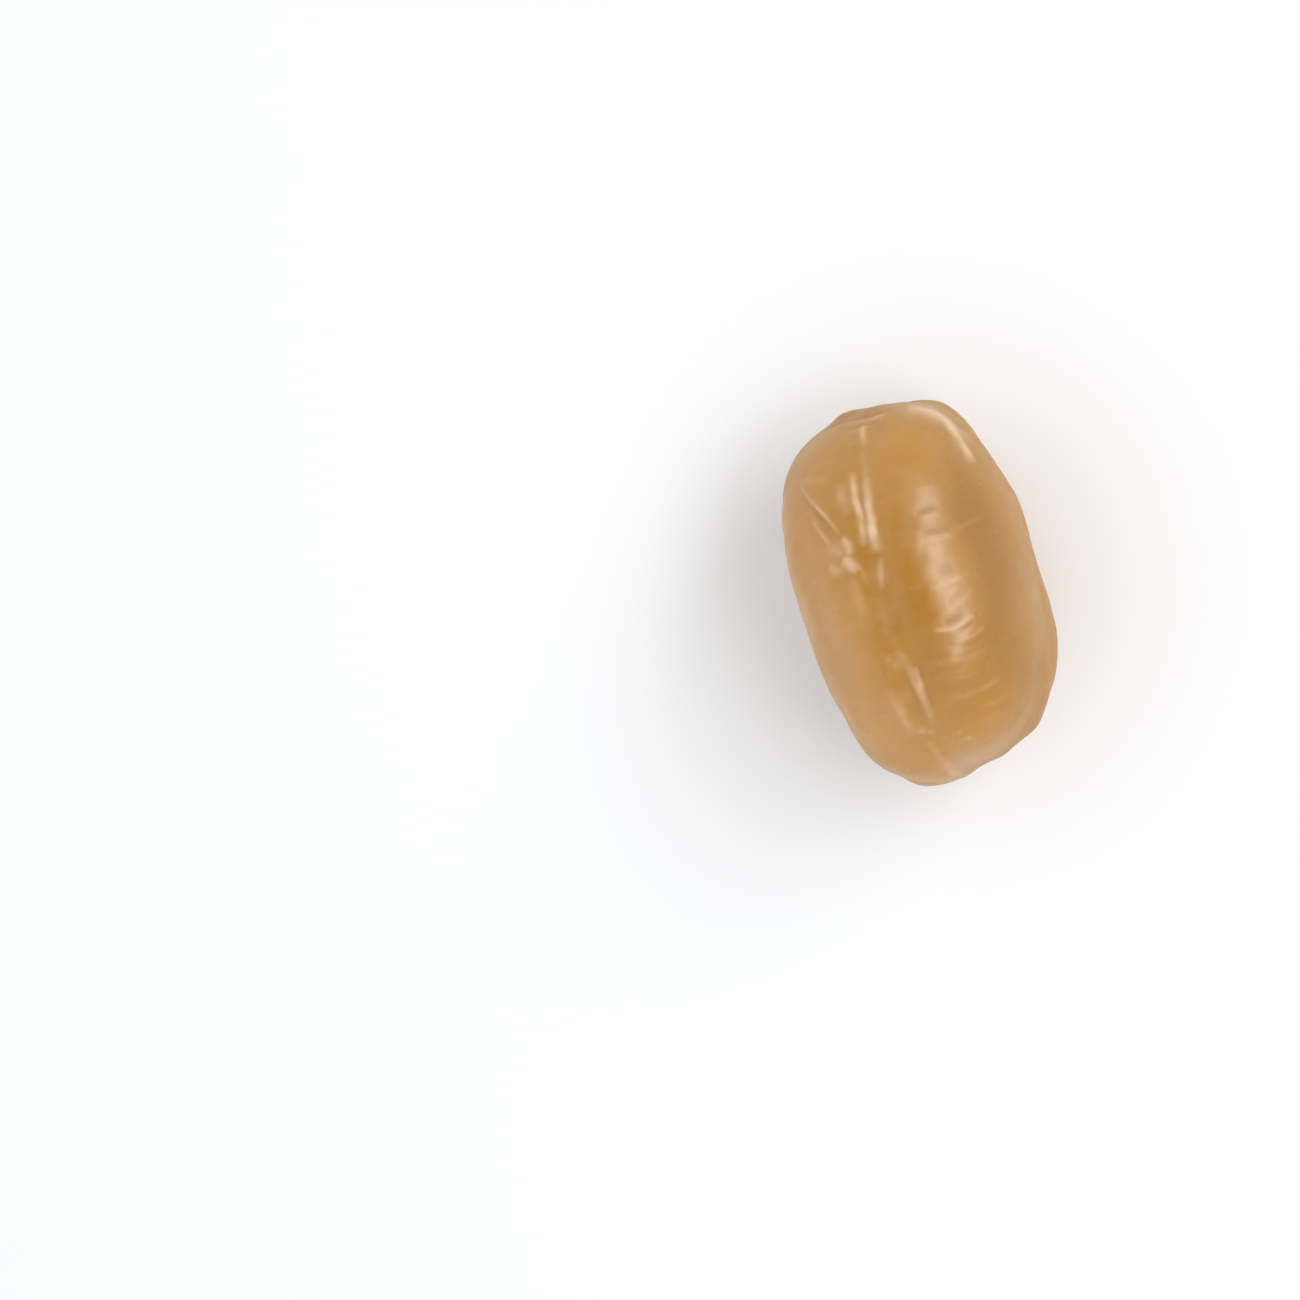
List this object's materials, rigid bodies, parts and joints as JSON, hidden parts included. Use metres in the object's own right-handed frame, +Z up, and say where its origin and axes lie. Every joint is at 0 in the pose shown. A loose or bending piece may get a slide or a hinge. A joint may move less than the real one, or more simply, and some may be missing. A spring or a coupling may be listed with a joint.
{
  "type": "butterscotch drop",
  "caption": "Unwrapped butterscotch sweet: a fat pillow of boiled sugar with a parting seam, pinched nubs at its ends and a waxy, creased skin.",
  "frame": {"origin": "middle of the underside of the sweet's box, on the surface that it lies on", "axes": "+X across the thickness, square to the parting seam; +Y along the length; +Z up, along the width"},
  "size_m": [0.0152, 0.025, 0.0183],
  "materials": {
    "butterscotch": "opaque golden-brown boiled sugar with a waxy shine"
  },
  "bodies": {
    "root": {"drop": "butterscotch"}
  },
  "joints": []
}
